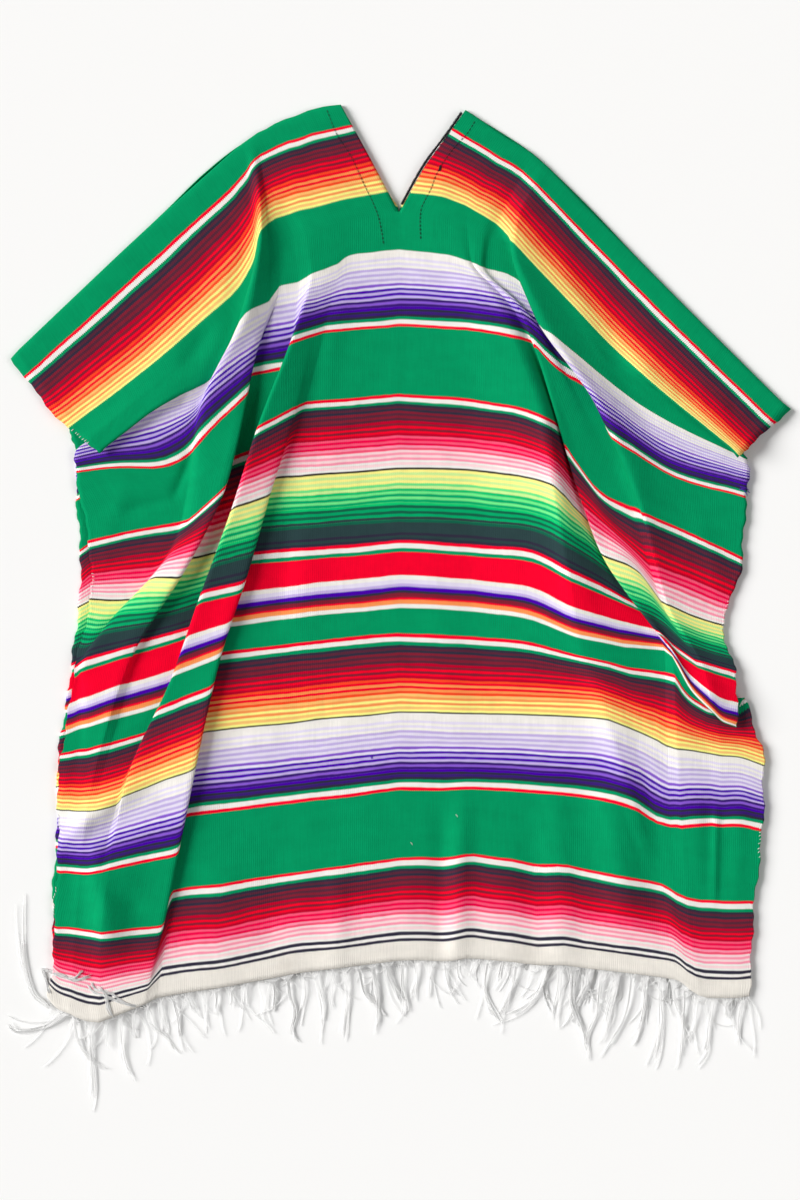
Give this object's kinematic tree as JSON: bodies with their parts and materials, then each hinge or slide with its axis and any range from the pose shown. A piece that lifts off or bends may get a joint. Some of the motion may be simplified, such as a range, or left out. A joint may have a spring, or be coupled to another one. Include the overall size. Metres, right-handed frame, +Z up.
{
  "type": "woven poncho",
  "caption": "Woven serape poncho laid out flat, front up, with striped bands, a slit neck, deep folds thrown by its sleeves and a yarn fringe at each hem.",
  "frame": {"origin": "centre of the bounding box, on the table under the back of the poncho", "axes": "+X towards the sleeve at the right of the picture, +Y from the hem towards the neck, +Z up from the table towards the front"},
  "size_m": [0.9092, 1.1574, 0.0207],
  "materials": {
    "front_cloth": "matt hand-woven cloth",
    "back_cloth": "matt hand-woven cloth",
    "dark_cord": "matt overlocked thread",
    "front_yarn": "soft white yarn",
    "back_yarn": "soft white yarn"
  },
  "bodies": {
    "root": {"front_panel": "front_cloth", "back_panel": "back_cloth", "neck_cord": "dark_cord", "front_fringe": "front_yarn", "back_fringe": "back_yarn"}
  },
  "joints": []
}
